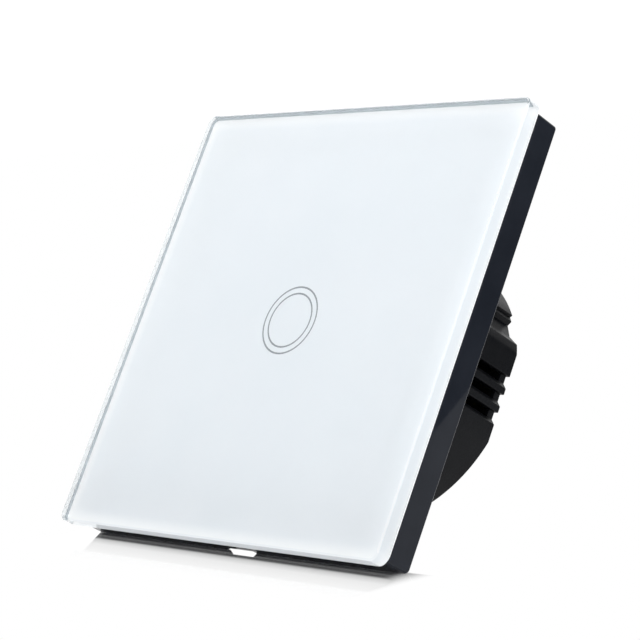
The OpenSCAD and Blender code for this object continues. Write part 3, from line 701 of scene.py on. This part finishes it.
resistor_body = moulded(
    "resistor_body", (0.018, 0.018, 0.019), (0.028, 0.028, 0.030), (0.3, 0.45), 0.2, 0.008
)
ceramic_body = moulded("ceramic_body", (0.33, 0.22, 0.12), (0.40, 0.28, 0.16), (0.3, 0.45), 0.2, 0.008)
body_size, body_y, body_edge = (1.3, 0.5, 1.2), board_y + 0.26, 0.06
end_size, end_y, end_edge = (0.36, 0.56, 1.25), board_y + 0.28, 0.08
end_off, end_inner = 0.82, 0.642
small_parts = [
    (-8, 9.5, resistor_body),
    (-8, 12, ceramic_body),
    (-8, 14.5, resistor_body),
    (8, 9.5, ceramic_body),
    (8, 12, resistor_body),
    (8, 14.5, ceramic_body),
    (-5, 5, resistor_body),
    (5, 5, resistor_body),
]
for count, (x, z, body_finish) in enumerate(small_parts, 1):
    body = rounded_block("body", body_size, (x, body_y, z), body_edge)
    ends = [rounded_block("end", end_size, (x + s * end_off, end_y, z), end_edge) for s in (-1, 1)]
    part = joined([body, *ends], f"board_part_{count}")
    part.data.materials.append(body_finish)
    part.data.materials.append(tinned_lead)
    for face in part.data.polygons:
        face.material_index = int(abs(face.center.x - x * MM) > end_inner * MM)
    even_shading(part)
    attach(part, "panel")


# Plug: a black nylon strip that carries five square brass pins with drawn-out tips.
# They push into the socket of the module as the panel is pressed on.
strip = softened("pin_strip", "plug_strip", 0.1)
wear(strip, black_nylon)
low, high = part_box("header_pins")
pin_count = 5
pin_w, pin_long = (high.z - low.z) / MM, (high.y - low.y) / MM
pin_y, pin_z = (low.y + high.y) / 2 / MM, (low.z + high.z) / 2 / MM
pin_pitch = ((high.x - low.x) / MM - pin_w) / (pin_count - 1)
pin_edge, tail_long, tip_long, tip_share, at_end = 0.03, 0.35 * MM, 0.7 * MM, 0.45, 0.1 * MM
pins = []
for count in range(pin_count):
    x = (count - (pin_count - 1) / 2) * pin_pitch
    pin = rounded_block("pin", (pin_w, pin_long, pin_w), (x, pin_y, pin_z), pin_edge, 1)
    only(pin)
    bpy.ops.object.mode_set(mode="EDIT")
    for taper_y in (low.y + tail_long, high.y - tip_long):
        bpy.ops.mesh.select_all(action="SELECT")
        bpy.ops.mesh.bisect(plane_co=(0, taper_y, 0), plane_no=(0, 1, 0))
    bpy.ops.object.mode_set(mode="OBJECT")
    for vert in pin.data.vertices:
        if vert.co.y < low.y + at_end or vert.co.y > high.y - at_end:
            vert.co.x = x * MM + (vert.co.x - x * MM) * tip_share
            vert.co.z = pin_z * MM + (vert.co.z - pin_z * MM) * tip_share
    pins.append(pin)
plug_pins = joined(pins, "plug_pins")
even_shading(plug_pins)
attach(plug_pins, "panel")
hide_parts("header_pins")
wear(plug_pins, pin_brass)


# Sensor: a plated coil spring carries the touch to the board, with an indicator lamp inside it and a milky
# ring round it that lights the mark. All stand on the front of the touch board.
low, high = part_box("touch_spring")
wire, turns, steps = 0.45, 2, 96
board_r, film_r = 4.2 - wire / 2, 2.9 - wire / 2
board_end_y, film_end_y = high.y / MM - wire / 2, low.y / MM + wire / 2
path = bpy.data.curves.new("sensor_coil", "CURVE")
path.dimensions = "3D"
path.bevel_depth = wire / 2 * MM
path.bevel_resolution = 4
path.use_fill_caps = True
line = path.splines.new("POLY")
line.points.add(steps)
for count in range(steps + 1):
    share = count / steps
    r = board_r + (film_r - board_r) * share
    y = board_end_y + (film_end_y - board_end_y) * share
    angle = math.tau * turns * share
    line.points[count].co = (r * math.cos(angle) * MM, y * MM, r * math.sin(angle) * MM, 1)
spring = bpy.data.objects.new("sensor_coil", path)
bpy.context.scene.collection.objects.link(spring)
only(spring)
bpy.ops.object.convert(target="MESH")
spring = bpy.context.object
bpy.ops.object.shade_smooth()
spring_steel = plated("spring_steel", (0.56, 0.55, 0.52), (0.68, 0.67, 0.64), (0.2, 0.3), 0.6, 0.06)
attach(spring, "panel")
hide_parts("touch_spring")
wear(spring, spring_steel)

guide_low, guide_high, guide_rough = (0.84, 0.84, 0.81), (0.90, 0.90, 0.87), (0.3, 0.42)
haze_patch, milk, milk_reach = 2.0, 0.4, (0.002, 0.002, 0.0018)
milky_guide, nodes, links, shader, place = new_finish("milky_guide")
haze = clouds(nodes, links, place, haze_patch)
links.new(tones(nodes, links, haze, guide_low, guide_high), shader.inputs["Base Color"])
links.new(between(nodes, links, haze, *guide_rough), shader.inputs["Roughness"])
shader.inputs["Subsurface Weight"].default_value = milk
shader.inputs["Subsurface Radius"].default_value = milk_reach
guide = softened("light_guide", "mark_light_guide", 0.2)
wear(guide, milky_guide)

low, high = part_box("indicator_led")
lamp_edge, cup_rim, cup_depth, cup_half = 0.12, 0.35 * MM, 0.25 * MM, 0.9 * MM
smallest_face = 2 * MM * MM
led = rounded_block("indicator_lamp", tuple((high - low) / MM), tuple((low + high) / 2 / MM), lamp_edge)
only(led)
bpy.ops.object.mode_set(mode="EDIT")
shape = bmesh.from_edit_mesh(led.data)
for face in shape.faces:
    face.select_set(face.normal.y < -0.99 and face.calc_area() > smallest_face)
bmesh.update_edit_mesh(led.data)
bpy.ops.mesh.inset(thickness=cup_rim)
bpy.ops.mesh.extrude_region_move(TRANSFORM_OT_translate={"value": (0, cup_depth, 0)})
bpy.ops.object.mode_set(mode="OBJECT")
lamp_case = moulded("lamp_case", (0.78, 0.77, 0.73), (0.84, 0.83, 0.80), (0.3, 0.45), 0.3, 0.008)
phosphor = moulded("lamp_phosphor", (0.74, 0.66, 0.22), (0.80, 0.73, 0.30), (0.25, 0.35), 0.15, 0.01)
led.data.materials.append(lamp_case)
led.data.materials.append(phosphor)
for face in led.data.polygons:
    inside = max(abs(face.center.x), abs(face.center.z)) < cup_half
    face.material_index = int(inside and face.normal.y < -0.9)
even_shading(led)
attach(led, "panel")
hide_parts("indicator_led")


# Glass tape: a square of black closed-cell foam tape in the tray of the frame, which bonds the printed glass.
# Its cut edges show the open cells.
foam_tape = moulded("foam_tape", (0.014, 0.014, 0.014), (0.028, 0.028, 0.028), (0.75, 0.9), 0.35, 0.08, 0.8)
wear(frame["nodes"]["glass_tape"], foam_tape)


# White print and ring mark: cool white ink screen printed on the back of the glass, with a touch mark of two
# thin grey lines left in it. The ink is a little uneven, and painted light makes it whiter along the edges.
ink_low, ink_high, painted_edge_light = (0.872, 0.901, 0.930), (0.888, 0.914, 0.940), (0.980, 0.988, 0.994)
ink_patch, ink_detail, ink_rough, ink_gloss_patch = 14.0, 4.0, (0.42, 0.55), 0.5
ink_grain, ink_grain_detail, ink_depth, ink_show = 0.3, 2.0, 0.004, 0.2
edge_light_from, edge_light_full, corner_blend = 37.0 * MM, 39.3 * MM, 3 * MM
white_print, nodes, links, shader, place = new_finish("white_print")
ink = tones(nodes, links, clouds(nodes, links, place, ink_patch, ink_detail), ink_low, ink_high)
spot = axes(nodes, links, place)
reach = [calc(nodes, links, "ABSOLUTE", spot[way]) for way in ("X", "Z")]
outward = calc(nodes, links, "SMOOTH_MAX", *reach, corner_blend)
# Painted light: the print turns whiter over the last 2 mm towards the edges of the glass.
edge_light = fading(nodes, links, outward, edge_light_from, edge_light_full, soft=True)
ink_gloss = clouds(nodes, links, place, ink_gloss_patch)
links.new(blended(nodes, links, edge_light, ink, painted_edge_light), shader.inputs["Base Color"])
links.new(between(nodes, links, ink_gloss, *ink_rough), shader.inputs["Roughness"])
roughen(nodes, links, shader, clouds(nodes, links, place, ink_grain, ink_grain_detail), ink_depth, ink_show)
shader.inputs["Specular IOR Level"].default_value = 0.0
wear(frame["nodes"]["white_film"], white_print)

line_low, line_high, line_rough, line_patch = (0.27, 0.29, 0.31), (0.33, 0.35, 0.37), (0.4, 0.5), 0.4
ring_ink, nodes, links, shader, place = new_finish("ring_ink")
uneven = clouds(nodes, links, place, line_patch)
links.new(tones(nodes, links, uneven, line_low, line_high), shader.inputs["Base Color"])
links.new(between(nodes, links, uneven, *line_rough), shader.inputs["Roughness"])
shader.inputs["Specular IOR Level"].default_value = 0.0
wear(frame["nodes"]["ring_mark"], ring_ink)


# Glass panel: 3 mm clear float glass with radiused corners. The front edges are polished, and the back edges
# are left dull from the grinding wheel, in a grey that is partly painted shade. The ink leaves no air on the
# back and runs out to the ground edge.
low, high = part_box("glass_panel")
corner_r, corner_steps, glass_crease = 1.5 * MM, 10, 24
front_arris, back_arris = 0.28 * MM, 0.42 * MM
ink_contact, ink_margin = 0.02 * MM, 0.3 * MM
on_rim = 0.01 * MM
printed = high + Vector((0, ink_contact, 0))
bpy.ops.object.select_all(action="DESELECT")
bpy.ops.mesh.primitive_cube_add(size=1)
glass = bpy.context.object
glass.name = glass.data.name = "clear_glass"
glass.data.transform(Matrix.Diagonal((*(printed - low), 1)))
glass.data.transform(Matrix.Translation((low + printed) / 2))
bpy.ops.object.mode_set(mode="EDIT")


def pick_edges(piece, test):
    """Select the edges whose two ends pass the test."""
    shape = bmesh.from_edit_mesh(piece.data)
    for item in (*shape.faces, *shape.edges, *shape.verts):
        item.select_set(False)
    for edge in shape.edges:
        if test(*(v.co for v in edge.verts)):
            edge.select_set(True)
    bmesh.update_edit_mesh(piece.data)


pick_edges(glass, lambda a, b: abs(a.y - b.y) > MM)
bpy.ops.mesh.bevel(offset=corner_r, segments=corner_steps, profile=0.5, affect="EDGES")
for rim_y, arris in ((low.y, front_arris), (printed.y, back_arris)):
    pick_edges(glass, lambda a, b: abs(a.y - rim_y) < on_rim and abs(b.y - rim_y) < on_rim)
    bpy.ops.mesh.bevel(offset=arris, segments=1, affect="EDGES")
shape = bmesh.from_edit_mesh(glass.data)
for face in shape.faces:
    face.select_set(face.normal.y > 0.99)
bmesh.update_edit_mesh(glass.data)
bpy.ops.mesh.inset(thickness=ink_margin)
bpy.ops.object.mode_set(mode="OBJECT")
even_shading(glass, glass_crease)

glass_low, glass_high, glass_rough = (0.975, 0.993, 0.993), (0.990, 0.998, 0.998), (0.0, 0.012)
smear_patch, smear_detail, glass_bend = 11.0, 5.0, 1.52
clear_glass, nodes, links, shader, place = new_finish("clear_glass")
smear = clouds(nodes, links, place, smear_patch, smear_detail)
links.new(tones(nodes, links, smear, glass_low, glass_high), shader.inputs["Base Color"])
links.new(between(nodes, links, smear, *glass_rough), shader.inputs["Roughness"])
shader.inputs["Transmission Weight"].default_value = 1
shader.inputs["IOR"].default_value = glass_bend

# The dull back edge is an opaque mid grey: its dullness is real, and its darkness is painted shade of the
# black frame that the rough glass scatters.
shaded_ground_low, shaded_ground_high, ground_rough = (0.46, 0.51, 0.54), (0.56, 0.61, 0.64), (0.5, 0.7)
wheel_patch, wheel_detail, grit, grit_detail, grit_depth, grit_show = 3.0, 4.0, 0.08, 2.0, 0.01, 0.4
shaded_ground_edge, nodes, links, shader, place = new_finish("shaded_ground_glass_edge")
wheel_marks = clouds(nodes, links, place, wheel_patch, wheel_detail)
links.new(tones(nodes, links, wheel_marks, shaded_ground_low, shaded_ground_high), shader.inputs["Base Color"])
links.new(between(nodes, links, wheel_marks, *ground_rough), shader.inputs["Roughness"])
roughen(nodes, links, shader, clouds(nodes, links, place, grit, grit_detail), grit_depth, grit_show)

for finish in (clear_glass, shaded_ground_edge, white_print):
    glass.data.materials.append(finish)
for face in glass.data.polygons:
    if 0.3 < face.normal.y < 0.9:
        face.material_index = 1
    elif face.normal.y > 0.99 and max(map(abs, face.center.xz)) > MM:
        face.material_index = 2
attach(glass, "panel")
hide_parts("glass_panel")
bpy.context.scene.cycles.blur_glossy = 0


# Studio floor: a white glossy sheet on which the switch leans on the foot of its frame and the back of its
# module. It mirrors the switch close to the foot, gives the panel less light there, and is clear from below.
lean = math.radians(32)
settling_rounds = 4
for _ in range(settling_rounds):
    down = Vector((0, math.sin(lean), -math.cos(lean)))
    foot_point, heel_point = (
        max((v.co for v in piece.data.vertices), key=down.dot) for piece in (panel_frame, housing)
    )
    lean = math.atan2(heel_point.z - foot_point.z, heel_point.y - foot_point.y)
sheet_size = 6
bpy.ops.object.select_all(action="DESELECT")
bpy.ops.mesh.primitive_plane_add(size=sheet_size)
sheet = bpy.context.object
sheet.name = sheet.data.name = "white_sheet"
sheet.matrix_world = Matrix.Translation((0, foot_point.y, foot_point.z)) @ Matrix.Rotation(lean, 4, "X")

sheet_metal, sheet_rough, ramp_reach = 0.78, 0.06, 20
white_before, white_behind = -17, 1.2
white_shares = (
    (-7.4, 0.80), (-4.6, 0.55), (-3.52, 0.05), (-2.8, 0.045),
    (-2.52, 0.08), (-1.8, 0.08), (-1.4, 0.01), (0, 0.01),
)
beside_from, beside_full = 36 * MM, 44 * MM
dim_from, dim_full, dim_share = -60 * MM, -10 * MM, 0.85
white_sheet, nodes, links, shader, place = new_finish("white_sheet")
shader.inputs["Base Color"].default_value = (1, 1, 1, 1)
shader.inputs["Metallic"].default_value = sheet_metal
shader.inputs["Roughness"].default_value = sheet_rough
spot = axes(nodes, links, place)
clearing = nodes.new("ShaderNodeValToRGB")
stops = clearing.color_ramp.elements
stops[0].position, stops[0].color = 0.5 + white_before / (2 * ramp_reach), (1, 1, 1, 1)
stops[1].position, stops[1].color = 0.5 + white_behind / (2 * ramp_reach), (1, 1, 1, 1)
for ahead, share in white_shares:
    stops.new(0.5 + ahead / (2 * ramp_reach)).color = (share, share, share, 1)
along = fading(nodes, links, spot["Y"], -ramp_reach * MM, ramp_reach * MM)
links.new(along, clearing.inputs["Fac"])
off_middle = calc(nodes, links, "ABSOLUTE", spot["X"])
beside = fading(nodes, links, off_middle, beside_from, beside_full, soft=True)
white_share = calc(nodes, links, "MAXIMUM", clearing.outputs["Color"], beside)
ray = nodes.new("ShaderNodeLightPath").outputs
seen = calc(nodes, links, "MAXIMUM", ray["Is Camera Ray"], ray["Is Glossy Ray"])
seen = calc(nodes, links, "MAXIMUM", seen, ray["Is Transmission Ray"])
near_foot = fading(nodes, links, spot["Y"], dim_from, dim_full, soft=True)
dimming = calc(nodes, links, "MULTIPLY", near_foot, dim_share)
scattered = calc(nodes, links, "MINIMUM", ray["Diffuse Depth"], 1)
dimmed = calc(nodes, links, "MULTIPLY", dimming, scattered)
glow = nodes.new("ShaderNodeEmission")
links.new(calc(nodes, links, "SUBTRACT", 1, dimmed), glow.inputs["Strength"])
lit = nodes.new("ShaderNodeMixShader")
links.new(calc(nodes, links, "MULTIPLY", white_share, seen), lit.inputs["Fac"])
links.new(shader.outputs["BSDF"], lit.inputs[1])
links.new(glow.outputs["Emission"], lit.inputs[2])
clear_below = nodes.new("ShaderNodeMixShader")
links.new(nodes.new("ShaderNodeNewGeometry").outputs["Backfacing"], clear_below.inputs["Fac"])
links.new(lit.outputs["Shader"], clear_below.inputs[1])
links.new(nodes.new("ShaderNodeBsdfTransparent").outputs["BSDF"], clear_below.inputs[2])
links.new(clear_below.outputs["Shader"], nodes["Material Output"].inputs["Surface"])
sheet.data.materials.append(white_sheet)


# Dark cards: two black cards to the right, which show only as reflections. The large one darkens the upper
# part of the glossy frame wall along a slanting line, and the small one the upper part of the module.
wall_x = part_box("panel_frame")[1].x / MM
lens_at = Vector((305.46, -259.52, -109.41))
lens_in_wall = Vector((2 * wall_x - lens_at.x, lens_at.y, lens_at.z))
card_distance = 1.4
wall_shade = ((-6.5, -17.6), (-6.5, 309.0), (233.0, 309.0))
flag_x, flag_near, flag_far, flag_low, flag_top = 60, 24, 140, 12, 160
outlines = {
    "dark_card": [
        lens_in_wall + (Vector((wall_x, y, z)) - lens_in_wall) * card_distance for y, z in wall_shade
    ],
    "module_flag": [
        (flag_x, flag_near, flag_low), (flag_x, flag_near, flag_top), (flag_x, flag_far, flag_top),
        (flag_x, flag_far, flag_low),
    ],
}
dark_card, nodes, links, shader, place = new_finish("dark_card")
shader.inputs["Base Color"].default_value = (0.012, 0.012, 0.014, 1)
shader.inputs["Roughness"].default_value = 0.9
for name, outline in outlines.items():
    corners = len(outline)
    card = add_mesh(name, outline, [(i, (i + 1) % corners) for i in range(corners)])
    bpy.ops.object.mode_set(mode="EDIT")
    bpy.ops.mesh.select_all(action="SELECT")
    bpy.ops.mesh.edge_face_add()
    bpy.ops.object.mode_set(mode="OBJECT")
    card.data.materials.append(dark_card)
    card.visible_camera = False
    card.visible_diffuse = False
    card.visible_transmission = False
    card.visible_shadow = False


# Light and camera: a white tent lights the switch evenly, and a weak soft lamp stands in front of it at the
# upper right. The camera stands where the photograph was taken from.
tent_strength = 1.19
tent = bpy.data.worlds.new("white_tent")
bpy.context.scene.world = tent
tent.use_nodes = True
tent.node_tree.nodes["Background"].inputs["Color"].default_value = (1, 1, 1, 1)
tent.node_tree.nodes["Background"].inputs["Strength"].default_value = tent_strength

lamp_at, lamp_aim, lamp_size, lamp_power = (0.39, -0.455, 0.163), Vector((0, 0, 0.02)), 0.25, 0.4
bpy.ops.object.select_all(action="DESELECT")
bpy.ops.object.light_add(type="AREA", location=lamp_at)
lamp = bpy.context.object
lamp.name = lamp.data.name = "soft_lamp"
lamp.data.shape = "DISK"
lamp.data.size = lamp_size
lamp.data.energy = lamp_power
lamp.rotation_euler = (lamp_aim - lamp.location).to_track_quat("-Z", "Y").to_euler()

to_right = Vector((0.67777, 0.66169, 0.32063))
to_top = Vector((-0.02043, -0.41894, 0.90778))
eye = bpy.data.cameras.new("camera")
eye.lens = 137.212
eye.sensor_width = 36
eye.shift_x = -0.001
eye.clip_start, eye.clip_end = 0.01, 20
camera = bpy.data.objects.new("camera", eye)
bpy.context.scene.collection.objects.link(camera)
aim = Matrix((to_right, to_top, to_right.cross(to_top))).transposed().to_4x4()
camera.matrix_world = Matrix.Translation(lens_at * MM) @ aim
bpy.context.scene.camera = camera
bpy.context.scene.view_settings.view_transform = "Standard"
